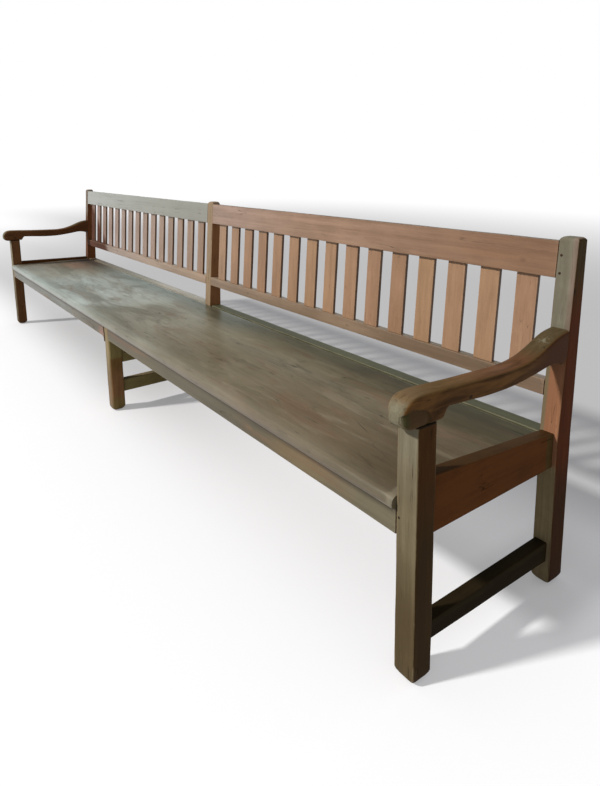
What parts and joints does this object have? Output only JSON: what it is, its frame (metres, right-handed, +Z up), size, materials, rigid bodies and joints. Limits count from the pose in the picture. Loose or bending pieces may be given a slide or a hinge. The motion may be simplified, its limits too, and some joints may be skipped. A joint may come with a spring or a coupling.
{
  "type": "deacons bench",
  "caption": "Long wooden bench with a leaning slatted back, an arm at each end, a solid board seat and a leg frame at each end and in the middle.",
  "frame": {"origin": "middle of the bench's length and depth, on the floor under the legs", "axes": "+X along the bench to its right-hand end as seen from the front, +Y from the front to the back, +Z up"},
  "size_m": [3.894, 0.6488, 0.944],
  "materials": {
    "slat_wood": "worn satin varnish over a warm pinkish brown wood",
    "peg_wood": "dark end grain of driven pegs",
    "seat_wood": "rubbed grey-brown wood with a satin sheen",
    "arm_wood": "olive brown wood polished by hands",
    "back_rail_wood": "worn satin varnish over a warm brown wood",
    "apron_wood": "dull satin varnish, grey-brown",
    "leg_wood": "dull satin varnish, taupe brown",
    "post_wood": "dull satin varnish, grey-brown to orange-brown",
    "frame_wood": "dark red-brown varnish",
    "inner_wood": "bare or thinly varnished wood out of sight"
  },
  "bodies": {
    "root": {"top_rail_right": "back_rail_wood", "lower_rail_right": "back_rail_wood", "slat_right_01": "slat_wood", "slat_right_02": "slat_wood", "slat_right_03": "slat_wood", "slat_right_04": "slat_wood", "slat_right_05": "slat_wood", "slat_right_06": "slat_wood", "slat_right_07": "slat_wood", "slat_right_08": "slat_wood", "slat_right_09": "slat_wood", "slat_right_10": "slat_wood", "slat_right_11": "slat_wood", "slat_right_12": "slat_wood", "slat_right_13": "slat_wood", "slat_right_14": "slat_wood", "slat_right_15": "slat_wood", "peg_right_1": "peg_wood", "peg_right_2": "peg_wood", "top_rail_left": "back_rail_wood", "lower_rail_left": "back_rail_wood", "slat_left_01": "slat_wood", "slat_left_02": "slat_wood", "slat_left_03": "slat_wood", "slat_left_04": "slat_wood", "slat_left_05": "slat_wood", "slat_left_06": "slat_wood", "slat_left_07": "slat_wood", "slat_left_08": "slat_wood", "slat_left_09": "slat_wood", "slat_left_10": "slat_wood", "slat_left_11": "slat_wood", "slat_left_12": "slat_wood", "slat_left_13": "slat_wood", "slat_left_14": "slat_wood", "slat_left_15": "slat_wood", "peg_left_1": "peg_wood", "peg_left_2": "peg_wood", "front_leg_right": "leg_wood", "back_post_right": "post_wood", "arm_right": "arm_wood", "side_rail_right": "frame_wood", "stretcher_right": "frame_wood", "seat_cleat_right": "inner_wood", "front_leg_left": "leg_wood", "back_post_left": "post_wood", "arm_left": "arm_wood", "side_rail_left": "frame_wood", "seat_cleat_left": "inner_wood", "middle_leg": "leg_wood", "middle_post": "post_wood", "seat_bearer": "inner_wood", "stretcher_middle": "frame_wood", "seat_board_front": "seat_wood", "seat_board_rear": "seat_wood", "apron_right": "apron_wood", "rear_seat_rail_right": "inner_wood", "apron_left": "apron_wood", "rear_seat_rail_left": "inner_wood"}
  },
  "joints": []
}
